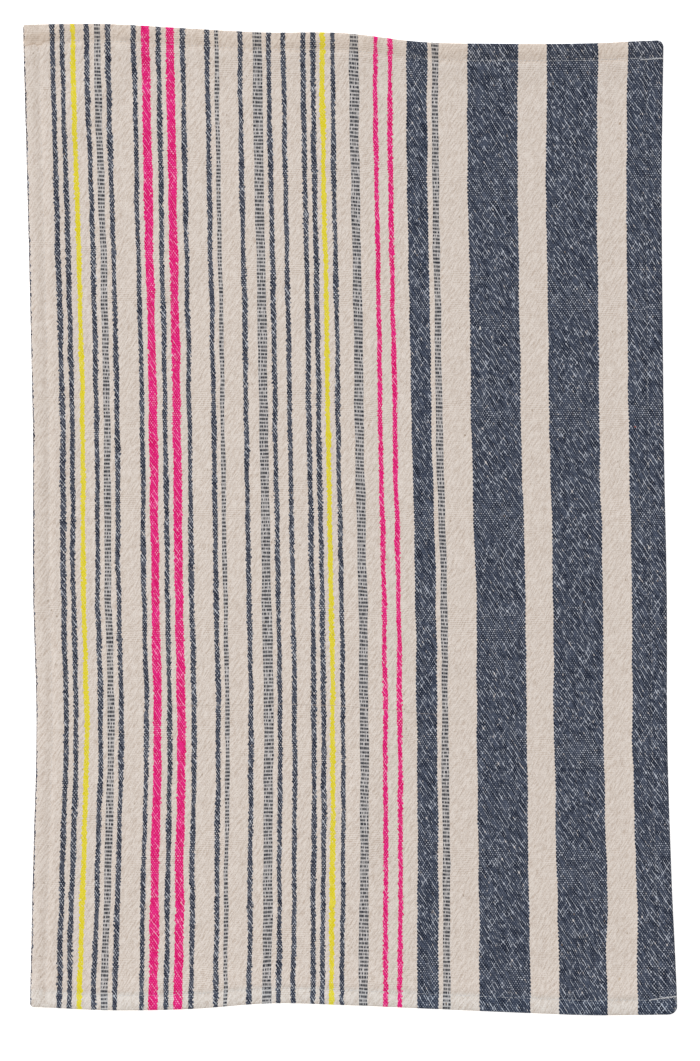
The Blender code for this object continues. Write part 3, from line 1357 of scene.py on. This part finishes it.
    def fleck(self, graph: NodeGraph, at: Crossing) -> Fleck:
        """Where the weft shows over the warp, as slanting flecks that join into lines.

        Args:
            graph: The material's graph.
            at: The crossing.

        Returns:
            The fleck.
        """
        rule, waves = self.flecks, self.ripples
        slip = graph.ripple(waves.line_slip, at.end, at.pick)
        falling = rule.turn_about * graph.math("COSINE", at.line * math.pi + slip)
        falling = falling + graph.ripple(waves.falling, at.line, at.along)
        rising = graph.ripple(waves.rising, at.step, at.line)
        zone = graph.ripple(waves.zone, at.end, at.pick)
        loose = graph.chance(at.line, at.step) - 0.5
        falling = falling + rule.falling_zone * zone + rule.falling_loose * loose
        falling_line = graph.ramp_up(falling, *rule.falling_range)
        rising_line = graph.ramp_up(rising + rule.rising_loose * loose, *rule.rising_range)
        size = rule.size + graph.ripple(waves.thick_pick, at.pick, at.end)
        size = size - graph.ripple(waves.thick_end, at.end, at.pick)
        size = size + rule.size_zone * zone + rule.size_loose * loose
        breadth = rule.breadth + rule.breadth_on_falling * falling_line
        breadth = (breadth + rule.breadth_on_rising * rising_line) * size
        length = (rule.length + rule.length_on_falling * falling_line) * size
        slanted = graph.math("POWER", at.lean / breadth, 2.0)
        slanted = slanted + graph.math("POWER", at.slope / length, 2.0)
        across, up = (at.lean + at.slope) * 0.5, (at.lean - at.slope) * 0.5
        level = graph.math("POWER", across / (rule.level_breadth * size), 2.0)
        level = level + graph.math("POWER", up / (rule.level_height * size), 2.0)
        even = self.even_beat(graph, at)
        depth = slanted + even * rule.even_share * (level - slanted)
        # Partly painted light and shade: flecks on the lines are painted brighter, and flecks that
        # lie low among the warp dimmer.
        strong = graph.math("MAXIMUM", falling_line, rising_line * rule.rising_strength)
        lit = strong * rule.bright_on_line + even * rule.bright_when_even
        lit = graph.math("ADD", lit + rule.bright_loose * loose, rule.bright, clamp=True)
        return Fleck(
            cover=graph.ramp_up(depth, *rule.cover_range),
            depth=depth,
            line=falling_line,
            bright=lit,
            cream=graph.chance(at.line + 0.5, at.step) > rule.cream_above,
            even_beat=even,
        )

    def even_beat(self, graph: NodeGraph, at: Crossing) -> Socket:
        """Find where the picks are beaten up so evenly that the flecks lie level.

        Args:
            graph: The material's graph.
            at: The crossing.

        Returns:
            A share from 0 to 1.
        """
        rule = self.flecks
        turn = (at.pick - rule.packed_pick) * (2 * math.pi / rule.packed_every)
        packed = rule.packed_strength * graph.math("COSINE", turn)
        packed = packed * graph.ramp_up(at.end, *rule.packed_ends)
        packed = packed + graph.ripple(self.ripples.packed, at.pick, at.end)
        return graph.ramp_up(packed, *rule.even_range)

    def worn(self, graph: NodeGraph, end: Socket, pick: Socket) -> Socket:
        """Work out how faded the dyed yarn is, in streaks that fall to the right.

        Args:
            graph: The material's graph.
            end: The number of the end.
            pick: The number of the pick.

        Returns:
            A share from 0 to 1.
        """
        down, rise = end + pick, end - pick
        streak = graph.ripple(self.ripples.worn, down, rise)
        quick = graph.ripple(self.ripples.quick_worn, down, rise)
        return graph.math("ADD", streak + quick, self.worn_level, clamp=True)

    def stripes(self, graph: NodeGraph, end: Socket, place: Socket) -> dict[Yarn, Socket]:
        """Mark the ends of each dyed yarn by the warping plan.

        Args:
            graph: The material's graph.
            end: The number of the end.
            place: The place across the warp, in ends.

        Returns:
            For each dyed yarn, 1 on its solid stripes.
        """
        marks: dict[Yarn, Socket] = {}
        swells = {dye.yarn: dye.swell for dye in self.dyes}
        start = 0.0
        for stripe in WARPING_PLAN:
            start += stripe.ground_before
            half = (stripe.ends - 1) / 2
            swell = swells[stripe.yarn]
            if stripe.order is WarpOrder.SOLID:
                if swell > 0:
                    mark = graph.is_near(place, start + half + 0.5, half + 0.5 + swell)
                else:
                    mark = graph.is_near(end, start + half, half + 0.25)
                marks[stripe.yarn] = marks[stripe.yarn] + mark if stripe.yarn in marks else mark
            start += stripe.ends
        return marks

    def one_and_one(self, graph: NodeGraph, at: Crossing) -> tuple[Socket, Socket]:
        """Colour the one-and-one stripes, whose dark ends nearly close up into short bars.

        Args:
            graph: The material's graph.
            at: The crossing.

        Returns:
            1 all over these stripes, and their colour.
        """
        rule, waves = self.bars, self.ripples
        region: Socket | float = 0.0
        odd: Socket | float = 0.0
        start = 0.0
        for stripe in WARPING_PLAN:
            start += stripe.ground_before
            if stripe.order is WarpOrder.ONE_AND_ONE:
                half = (stripe.ends - 1) / 2
                place = at.end + at.across + 0.5
                mark = graph.is_near(place, start + half + 0.5, half + 0.5 + rule.overlap)
                region = region + mark
                odd = odd + mark * (round(start) % 2)
            start += stripe.ends
        beat = graph.math("COSINE", (at.pick + at.up + 0.5 + odd) * math.pi)
        row = graph.math("FLOOR", (at.pick + 0.5 + odd) * 0.5 + 0.5)
        slip = graph.ripple(waves.bar_slip, at.end, row)
        middle = graph.math("COSINE", (at.end + at.across + odd + slip) * math.pi)
        own = graph.ramp_up(middle, *rule.own_range)
        bar = graph.ramp_up(beat, *rule.bar_range)
        luck = graph.chance(at.end + 0.25, row)
        closed = graph.ramp_up(graph.ripple(waves.bar_closed, at.end, row), *rule.closed_range)
        worn = graph.ripple(waves.bar_worn, at.end, row)
        on_end = own * (rule.own_depth + rule.own_depth_worn * worn)
        in_gap = (1.0 - own) * (rule.gap_depth + rule.gap_depth_closed * closed)
        # The weft between the bars is greyed, partly as painted shade, and darker still over the
        # dark ends.
        tone = rule.light_tone - rule.tone_own * own + rule.tone_luck * luck
        light = graph.shade(self.between_weft_and_shade, tone + rule.tone_worn * worn)
        return region, graph.mix(bar * (on_end + in_gap), light, self.between_dark)

    def colour(self, graph: NodeGraph, at: Crossing, fleck: Fleck, streak: Socket) -> Socket:
        """Colour each point by the yarn that lies uppermost there.

        Args:
            graph: The material's graph.
            at: The crossing.
            fleck: The spot of weft.
            streak: The lie of the yarns.

        Returns:
            The colour.
        """
        end = at.end + self.neighbour(graph, at)
        worn = self.worn(graph, end, at.pick)
        beat = graph.math("COSINE", at.up * (2 * math.pi)) * fleck.even_beat
        # Painted shade: ground and weft are darker in the hollows between streaks and between
        # evenly beaten picks.
        hollow_shade = streak * self.hollow_by_lie - beat * self.hollow_by_beat
        hollow_shade = graph.math("ADD", hollow_shade, self.hollow_level, clamp=True)
        fuzz = graph.ripple(self.ripples.fuzz, at.end, at.pick + at.up)
        marks = self.stripes(graph, end, at.end + at.across + 0.5 + fuzz)
        warp = graph.mix(hollow_shade, self.ground, self.ground_painted_shade)
        weft = graph.mix(hollow_shade, self.weft, self.weft_painted_shade)
        shadow: Socket | float = 0.0
        for dye in self.dyes:
            mark = marks[dye.yarn]
            shades = graph.mix(worn, (*dye.deep, 1.0), (*dye.faded, 1.0))
            warp = graph.mix(mark, warp, shades)
            seen = graph.mix(fleck.cream * self.cream_share, (*dye.fleck, 1.0), self.weft)
            # A dim fleck takes the dye's faded colour, as painted shade on weft that lies low among
            # dyed ends.
            weft = graph.mix(mark, weft, graph.mix(fleck.bright, (*dye.faded, 1.0), seen))
            shadow = shadow + dye.shadow * mark
        # Painted shade: the warp is darker in a ring round each fleck of weft, and dyed ends are
        # darker beside the lines of weft.
        ring = graph.is_near(fleck.depth, self.ring_depth, self.ring_breadth)
        kept = 1.0 - (self.ring_shade + self.ring_shadow * shadow) * ring
        warp = graph.shade(warp, kept - shadow * fleck.line)
        cloth = graph.mix(fleck.cover, warp, weft)
        region, bars = self.one_and_one(graph, at)
        cloth = graph.mix(region, cloth, bars)
        # Painted shade on the top hem, painted light on the bottom hem and falling off from the
        # left edge.
        cloth = self.paint_light(graph, at, cloth)
        cloth = self.marked(graph, at, cloth)
        speck = graph.chance(at.end, at.pick + 0.5) > self.husk_above
        return graph.mix(speck * self.husk_share, cloth, self.husk)

    def neighbour(self, graph: NodeGraph, at: Crossing) -> Socket:
        """Find where the end beside shows, because the weft has drawn it over.

        Args:
            graph: The material's graph.
            at: The crossing.

        Returns:
            -1 or 1 where the end to the left or right shows, and 0 elsewhere.
        """
        across, up = graph.math("ABSOLUTE", at.across), graph.math("ABSOLUTE", at.up)
        reach = up + self.drawn_over * graph.chance(at.end + 0.75, at.pick) - self.drawn_less
        return at.weft_over * (across > reach) * graph.math("SIGN", at.across)

    def marked(self, graph: NodeGraph, at: Crossing, cloth: Socket) -> Socket:
        """Lay the small faults of the yarn and the painted shade by the upper left corner over the
        cloth's colour.

        Args:
            graph: The material's graph.
            at: The crossing.
            cloth: The cloth's colour.

        Returns:
            The colour with its faults and painted shade.
        """
        east = (at.end + at.across + 0.5) * (self.end_pitch / MM)
        north = (at.pick + at.up + 0.5) * (self.pick_pitch / MM)
        for mark in MARKS:
            turn = math.radians(mark.turn)
            right, up = east - mark.u, north - mark.v
            length = (right * math.cos(turn) + up * math.sin(turn)) * (1 / mark.along)
            breadth = (up * math.cos(turn) - right * math.sin(turn)) * (1 / mark.across)
            off = graph.math("POWER", length, 2.0) + graph.math("POWER", breadth, 2.0)
            share = graph.ramp_up(off, *self.mark_range) * mark.share
            cloth = graph.mix(share, cloth, (*mark.colour, 1.0))
        return cloth

    def paint_light(self, graph: NodeGraph, at: Crossing, cloth: Socket) -> Socket:
        """Paint shade on the top hem, and light on the bottom hem and the left side.

        Args:
            graph: The material's graph.
            at: The crossing.
            cloth: The cloth's colour.

        Returns:
            The colour with its painted light and shade.
        """
        rule = self.painted_light
        rise = at.pick + at.up + 0.5
        low = graph.ramp_up(rise, *rule.bottom_picks)
        slant = rule.slant_picks * graph.ramp_up(at.end, *rule.slant_ends)
        high = graph.ramp_up(rise + slant, *rule.top_picks)
        tint = graph.mix(low, (1.0, 1.0, 1.0, 1.0), rule.bottom)
        tint = graph.mix(high, tint, rule.top)
        tint = graph.shade(tint, rule.left_tone - at.end * rule.tone_per_end)
        settings = {"operation": "MULTIPLY"}
        return graph.output(graph.node("ShaderNodeVectorMath", settings, {0: cloth, 1: tint}))

    def relief(self, graph: NodeGraph, at: Crossing, fleck: Fleck, streak: Socket) -> Socket:
        """Height of the yarns in millimetres.

        Args:
            graph: The material's graph.
            at: The crossing.
            fleck: The spot of weft.
            streak: The lie of the yarns.

        Returns:
            The height.
        """
        rule = self.heights
        crown = 1.0 - graph.math("POWER", at.across * 2.0, 2.0)
        along = graph.math("COSINE", at.up * math.pi)
        warp = (1.0 - at.weft_over) * crown * along * rule.warp
        weft = fleck.cover * graph.ramp_up(fleck.depth, *rule.weft_range) * rule.weft
        return warp + weft - rule.lie * streak


@dataclass(frozen=True)
class SewingThreadFinish:
    """Undyed sewing thread with a fine twist, painted darker in the twist's grooves as painted
    shade.
    """

    thread: Colour = (0.58, 0.58, 0.59, 1.0)
    thread_groove_shade: Colour = (0.42, 0.42, 0.43, 1.0)
    grain: float = 1800.0
    twist_range: Range = (0.35, 0.7)
    twist_height: float = 0.06 * MM
    roughness: float = 0.8
    twist_gloss: float = 0.15
    specular: float = 0.35

    def material(self) -> bpy.types.Material:
        """Build the material.

        Returns:
            The material.
        """
        material, graph = new_material("natural_thread")
        place = graph.output(graph.node("ShaderNodeTexCoord"), "Object")
        twist = graph.node(
            "ShaderNodeTexNoise",
            {"noise_dimensions": "3D"},
            {"Vector": place, "Scale": self.grain, "Detail": 1.0},
        )
        mark = graph.ramp_up(graph.output(twist), *self.twist_range)
        # Painted shade: the thread is darker in the grooves of its twist.
        colour = graph.mix(mark, self.thread_groove_shade, self.thread)
        bump = graph.node("ShaderNodeBump", None, {"Distance": self.twist_height, "Height": mark})
        shader = graph.node(
            "ShaderNodeBsdfPrincipled",
            None,
            {
                "Base Color": colour,
                "Roughness": self.roughness - self.twist_gloss * mark,
                "Specular IOR Level": self.specular,
                "Normal": graph.output(bump),
            },
        )
        graph.node("ShaderNodeOutputMaterial", None, {"Surface": graph.output(shader)})
        return material


@dataclass(frozen=True)
class PaleSurfaceFinish:
    """A matt, nearly white studio surface that gives off a little light of its own."""

    light: Colour = (0.93, 0.93, 0.93, 1.0)
    soft: Colour = (0.915, 0.915, 0.915, 1.0)
    cloud_scale: float = 3.0
    roughness: float = 0.9
    specular: float = 0.2
    glow: float = 0.6

    def material(self) -> bpy.types.Material:
        """Build the material.

        Returns:
            The material.
        """
        material, graph = new_material("pale_surface")
        place = graph.output(graph.node("ShaderNodeTexCoord"), "Object")
        cloudy = graph.node(
            "ShaderNodeTexNoise", None, {"Vector": place, "Scale": self.cloud_scale}
        )
        colour = graph.mix(graph.output(cloudy), self.light, self.soft)
        shader = graph.node(
            "ShaderNodeBsdfPrincipled",
            None,
            {
                "Base Color": colour,
                "Roughness": self.roughness,
                "Specular IOR Level": self.specular,
                "Emission Color": (1.0, 1.0, 1.0, 1.0),
                "Emission Strength": self.glow,
            },
        )
        graph.node("ShaderNodeOutputMaterial", None, {"Surface": graph.output(shader)})
        return material


# ---------------------------------------------------------------- the stitching


@dataclass(frozen=True)
class StitchRow:
    """A straight row on the flat cloth, and how far its thread is drawn into the cloth."""

    start: tuple[float, float]
    stop: tuple[float, float]
    sunk: float = 0.0


@dataclass(frozen=True)
class Backtack:
    """A short row sewn back by a right-hand corner.

    start and stop are how far left of the right edge and above the end's own row it
    begins and ends, in mm.
    """

    at_top: bool
    start: tuple[float, float]
    stop: tuple[float, float]


BACKTACKS = (
    Backtack(at_top=False, start=(16.5, 0.0), stop=(1.4, 2.5)),
    Backtack(at_top=False, start=(15.6, 0.4), stop=(2.6, 2.6)),
    Backtack(at_top=False, start=(13.0, 0.4), stop=(1.4, 2.1)),
    Backtack(at_top=True, start=(15.5, -1.5), stop=(1.4, -1.1)),
    Backtack(at_top=True, start=(14.5, -1.1), stop=(2.4, -0.7)),
)


@dataclass
class HemStitching:
    """Rows of machine stitches along the four hems.

    The top row begins with a slant, top_slant_run long, and lies looser past loose_from of
    the width. stitch_share is a stitch's half length on the face, in steps, and its thread
    rises and dives by rise and dive, in radii. A backtack's thread looks tack_thread times
    as thick.
    """

    lay: TowelLay
    finish: SewingThreadFinish
    stitch: float = 3.0 * MM
    thread: float = 0.15 * MM
    tack_stitch: float = 2.3 * MM
    tack_thread: float = 1.8
    side_sunk: float = 0.20 * MM
    end_sunk: float = 0.15 * MM
    loose_sunk: float = 0.05 * MM
    loose_from: float = 0.7
    top_slant_run: float = 28 * MM
    clear: float = 1.3 * MM
    path_step: float = 2 * MM
    under_height: float = 0.26 * MM
    turns: Range = (-0.05, 0.15)
    lengths: Range = (0.9, 1.08)
    stitch_share: float = 0.47
    stitch_points: int = 6
    thread_sides: int = 6
    rise: float = 0.75
    dive: float = 1.9
    seed: int = 3
    back_seed: int = 8
    tack_seed: int = 12
    stitch_tree: bpy.types.NodeTree = field(init=False)
    thread_material: bpy.types.Material = field(init=False)

    def face_rows(self) -> list[StitchRow]:
        """List the rows on the face: each side's, then each end's across them.

        Returns:
            The rows.
        """
        lay = self.lay
        left = lay.side_hem - lay.row_inset
        right = lay.width - left
        low = lay.bottom_hem - lay.row_inset
        high = lay.length - lay.top_hem + lay.row_inset
        near, far = self.clear, lay.length - self.clear
        slant, loose = self.top_slant_run, self.loose_from * lay.width
        return [
            StitchRow((left, near), (left, far), self.side_sunk),
            StitchRow((right, near), (right, far), self.side_sunk),
            StitchRow((near, low), (lay.width - near, low), self.end_sunk),
            StitchRow((near, high - lay.top_left_extra), (slant, high), self.side_sunk),
            StitchRow((slant, high), (loose, high), self.end_sunk),
            StitchRow((loose, high), (lay.width - near, high), self.loose_sunk),
        ]

    def backtacks(self) -> list[StitchRow]:
        """List the short rows sewn back over the ends of a row, a little out of line.

        Returns:
            The rows.
        """
        lay = self.lay
        low = lay.bottom_hem - lay.row_inset
        high = lay.length - lay.top_hem + lay.row_inset
        rows = []
        for tack in BACKTACKS:
            row = high if tack.at_top else low
            start, stop = (
                (lay.width - left * MM, row + up * MM) for left, up in (tack.start, tack.stop)
            )
            rows.append(StitchRow(start, stop))
        return rows

    def path(self, rows: list[StitchRow], under: bool) -> bpy.types.Object:
        """Lay rows on the cloth as one mesh of edges.

        Args:
            rows: The rows.
            under: Whether they lie on the back of the hem.

        Returns:
            The object that holds the edges.
        """
        points, edges = [], []
        middle = self.lay.middle()
        for row in rows:
            (u0, v0), (u1, v1) = row.start, row.stop
            steps = max(4, int(math.hypot(u1 - u0, v1 - v0) / self.path_step))
            t = np.linspace(0.0, 1.0, steps + 1)
            u, v = u0 + t * (u1 - u0), v0 + t * (v1 - v0)
            x, y = self.lay.plan(u, v)
            lift = self.lay.lift(u, v)
            z = lift + (self.under_height if under else self.lay.face(u, v) - row.sunk)
            first = len(points)
            points += np.stack([x - middle[0], y - middle[1], z], axis=-1).tolist()
            edges += [(first + k, first + k + 1) for k in range(steps)]
        mesh = bpy.data.meshes.new("stitch_path")
        mesh.from_pydata(points, edges, [])
        path = bpy.data.objects.new("stitch_path", mesh)
        bpy.context.scene.collection.objects.link(path)
        return path

    def tree(self) -> bpy.types.NodeTree:
        """Build the tree that sets a stitch at every step along a path.

        Returns:
            The geometry tree, with named inputs.
        """
        tree = bpy.data.node_groups.new("machine_stitches", "GeometryNodeTree")
        face = tree.interface
        face.new_socket("Path", in_out="INPUT", socket_type="NodeSocketGeometry")
        for name in ("Stitch Length", "Thread Radius", "Upward"):
            face.new_socket(name, in_out="INPUT", socket_type="NodeSocketFloat")
        face.new_socket("Seed", in_out="INPUT", socket_type="NodeSocketInt")
        face.new_socket("Thread", in_out="INPUT", socket_type="NodeSocketMaterial")
        face.new_socket("Stitches", in_out="OUTPUT", socket_type="NodeSocketGeometry")
        graph = NodeGraph(tree)
        given = graph.node("NodeGroupInput")
        step, radius = graph.output(given, "Stitch Length"), graph.output(given, "Thread Radius")
        up, seed = graph.output(given, "Upward"), graph.output(given, "Seed")
        curve = graph.node("GeometryNodeMeshToCurve", None, {"Mesh": graph.output(given, "Path")})
        points = graph.node(
            "GeometryNodeCurveToPoints",
            {"mode": "LENGTH"},
            {"Curve": graph.output(curve), "Length": step},
        )
        facing = graph.output(graph.node("ShaderNodeCombineXYZ", None, {2: up}))
        upright = graph.node(
            "FunctionNodeAlignRotationToVector", {"axis": "Z"}, {"Vector": facing}
        )
        along = graph.node(
            "FunctionNodeAlignRotationToVector",
            {"axis": "X"},
            {"Rotation": graph.output(upright), "Vector": graph.output(points, "Tangent")},
        )
        slant = graph.node(
            "FunctionNodeRandomValue",
            {"data_type": "FLOAT"},
            {2: self.turns[0], 3: self.turns[1], "Seed": seed},
        )
        turn = graph.output(graph.node("ShaderNodeCombineXYZ", None, {2: graph.output(slant, 1)}))
        spin = graph.node("FunctionNodeEulerToRotation", None, {0: turn})
        turned = graph.node(
            "FunctionNodeRotateRotation",
            {"rotation_space": "LOCAL"},
            {"Rotation": graph.output(along), "Rotate By": graph.output(spin)},
        )
        long = graph.node(
            "FunctionNodeRandomValue",
            {"data_type": "FLOAT"},
            {2: self.lengths[0], 3: self.lengths[1], "Seed": seed + 1.0},
        )
        placed = graph.node(
            "GeometryNodeInstanceOnPoints",
            None,
            {
                "Points": graph.output(points, "Points"),
                "Instance": self.one_stitch(graph, step, radius),
                "Rotation": graph.output(turned),
                "Scale": graph.output(long, 1),
            },
        )
        real = graph.node(
            "GeometryNodeRealizeInstances", None, {"Geometry": graph.output(placed)}
        )
        dressed = graph.node(
            "GeometryNodeSetMaterial",
            None,
            {"Geometry": graph.output(real), "Material": graph.output(given, "Thread")},
        )
        graph.node("NodeGroupOutput", None, {"Stitches": graph.output(dressed)})
        return tree

    def one_stitch(self, graph: NodeGraph, step: Socket, radius: Socket) -> Socket:
        """One stitch along X: a bowed thread whose ends dive into the cloth.

        Args:
            graph: The tree's graph.
            step: The stitch length.
            radius: The thread's radius.

        Returns:
            The stitch's mesh.
        """
        half = step * self.stitch_share
        start = graph.output(graph.node("ShaderNodeCombineXYZ", None, {0: half * -1.0}))
        stop = graph.output(graph.node("ShaderNodeCombineXYZ", None, {0: half}))
        line = graph.node("GeometryNodeCurvePrimitiveLine", None, {"Start": start, "End": stop})
        fine = graph.node(
            "GeometryNodeResampleCurve",
            None,
            {"Curve": graph.output(line), "Count": self.stitch_points},
        )
        factor = graph.output(graph.node("GeometryNodeSplineParameter"), "Factor")
        off = factor * 2.0 - 1.0
        steep = graph.math("POWER", graph.math("ABSOLUTE", off), 3.0)
        bow = radius * (self.rise - self.dive * steep)
        offset = graph.output(graph.node("ShaderNodeCombineXYZ", None, {2: bow}))
        bowed = graph.node(
            "GeometryNodeSetPosition", None, {"Geometry": graph.output(fine), "Offset": offset}
        )
        ring = graph.node(
            "GeometryNodeCurvePrimitiveCircle",
            None,
            {"Resolution": self.thread_sides, "Radius": radius},
        )
        thread = graph.node(
            "GeometryNodeCurveToMesh",
            None,
            {
                "Curve": graph.output(bowed),
                "Profile Curve": graph.output(ring),
                "Fill Caps": True,
            },
        )
        return graph.output(thread)

    def sew(
        self, name: str, rows: list[StitchRow], under: bool, step: float, radius: float, seed: int
    ) -> bpy.types.Object:
        """Sew rows and turn the stitches into a plain mesh.

        Args:
            name: The piece's name.
            rows: The rows.
            under: Whether they lie on the back of the hem.
            step: The stitch length.
            radius: The thread's radius.
            seed: The seed of the small differences between stitches.

        Returns:
            The piece.
        """
        path = self.path(rows, under)
        modifier = path.modifiers.new("stitches", "NODES")
        modifier.node_group = self.stitch_tree
        given = {
            "Stitch Length": step,
            "Thread Radius": radius,
            "Upward": -1.0 if under else 1.0,
            "Seed": seed,
            "Thread": self.thread_material,
        }
        for item in self.stitch_tree.interface.items_tree:
            if item.in_out == "INPUT" and item.name in given:
                modifier[item.identifier] = given[item.name]
        bpy.context.view_layer.update()
        depsgraph = bpy.context.evaluated_depsgraph_get()
        mesh = bpy.data.meshes.new_from_object(path.evaluated_get(depsgraph))
        path.modifiers.clear()
        bpy.data.objects.remove(path, do_unlink=True)
        mesh.name = name
        mesh.shade_smooth()
        piece = bpy.data.objects.new(name, mesh)
        bpy.context.scene.collection.objects.link(piece)
        return piece

    def build(self) -> list[bpy.types.Object]:
        """Sew the rows on the face, those beneath, and the backtacks.

        Returns:
            The three pieces.
        """
        self.stitch_tree = self.tree()
        self.thread_material = self.finish.material()
        rows, tacks = self.face_rows(), self.backtacks()
        step, fine, coarse = self.stitch, self.thread, self.tack_thread * self.thread
        return [
            self.sew("hem_stitches_face", rows, False, step, fine, self.seed),
            self.sew("hem_stitches_back", rows, True, step, fine, self.back_seed),
            self.sew("backtack_stitches", tacks, False, self.tack_stitch, coarse, self.tack_seed),
        ]


# ---------------------------------------------------------------- the studio


@dataclass
class Studio:
    """The pale surface, the soft light from the upper left and the camera above.

    frame_high is the height of the photo's frame in pixels, and frame_mm is a pixel's size.
    """

    finish: PaleSurfaceFinish
    frame_high: int = 1061
    frame_mm: float = 0.7155
    centre_x: float = -0.12 * MM
    centre_y: float = -7.87 * MM
    camera_height: float = 3.0
    sensor_mm: float = 36.0
    floor_size: float = 24.0
    floor_panels: int = 16
    world_strength: float = 0.735
    key_power: float = 2.03
    key_spread: float = 29.0
    key_place: tuple[float, float, float] = (-1.25, 1.35, 1.7)
    air: Colour = (1.0, 0.975, 0.95, 1.0)
    key: tuple[float, float, float] = (0.93, 0.99, 1.06)

    def build(self) -> None:
        """Build the surface, the light and the camera."""
        self.surface()
        self.light()
        self.camera()
        scene = bpy.context.scene
        scene.view_settings.view_transform = "Standard"
        scene.view_settings.look = "None"
        scene.cycles.denoising_prefilter = "NONE"  # a smoothed guide would smear the weave

    def surface(self) -> None:
        """Lay a wide floor in even panels."""
        size, cells = self.floor_size, self.floor_panels
        steps = np.linspace(-size / 2, size / 2, cells + 1)
        points = [(x, y, 0.0) for x in steps for y in steps]
        row = cells + 1
        faces = [
            (a * row + b, (a + 1) * row + b, (a + 1) * row + b + 1, a * row + b + 1)
            for a in range(cells)
            for b in range(cells)
        ]
        mesh = bpy.data.meshes.new("studio_floor")
        mesh.from_pydata(points, [], faces)
        mesh.materials.append(self.finish.material())
        floor = bpy.data.objects.new("studio_floor", mesh)
        bpy.context.scene.collection.objects.link(floor)

    def light(self) -> None:
        """Send one broad soft light from the upper left, with even light all round."""
        data = bpy.data.lights.new("key_light", "SUN")
        data.angle = math.radians(self.key_spread)
        data.energy = self.key_power
        data.color = self.key
        lamp = bpy.data.objects.new("key_light", data)
        lamp.location = self.key_place
        lamp.rotation_euler = (-Vector(lamp.location)).to_track_quat("-Z", "Y").to_euler()
        bpy.context.scene.collection.objects.link(lamp)
        world = bpy.data.worlds.new("studio_air")
        world.use_nodes = True
        world.node_tree.nodes.clear()
        graph = NodeGraph(world.node_tree)
        air = graph.node(
            "ShaderNodeBackground",
            None,
            {"Color": self.air, "Strength": self.world_strength},
        )
        graph.node("ShaderNodeOutputWorld", None, {"Surface": graph.output(air)})
        bpy.context.scene.world = world

    def camera(self) -> None:
        """Look straight down through a long lens that takes in the photo's frame."""
        data = bpy.data.cameras.new("copy_camera")
        data.sensor_width = self.sensor_mm
        high = self.frame_high * self.frame_mm * MM
        data.lens = self.sensor_mm * self.camera_height / high
        data.clip_start, data.clip_end = 0.1, 20.0
        camera = bpy.data.objects.new("copy_camera", data)
        camera.location = (self.centre_x, self.centre_y, self.camera_height)
        bpy.context.scene.collection.objects.link(camera)
        bpy.context.scene.camera = camera


def report(piece: bpy.types.Object) -> None:
    """Log a piece's name and its number of triangles."""
    triangles = sum(len(face.vertices) - 2 for face in piece.data.polygons)
    log.info("%s: %d triangles", piece.name, triangles)


def main() -> None:
    """Build the towel, its stitching and the studio, and tie them to the frame."""
    logging.basicConfig(level=logging.INFO, format="%(message)s")
    lay = TowelLay()
    cloth = TowelCloth(lay, WovenCottonFinish()).build()
    stitches = HemStitching(lay, SewingThreadFinish()).build()
    for piece in (cloth, *stitches):
        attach(piece, "root")
        report(piece)
    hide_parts("towel")
    Studio(PaleSurfaceFinish()).build()


if __name__ == "__main__":
    main()
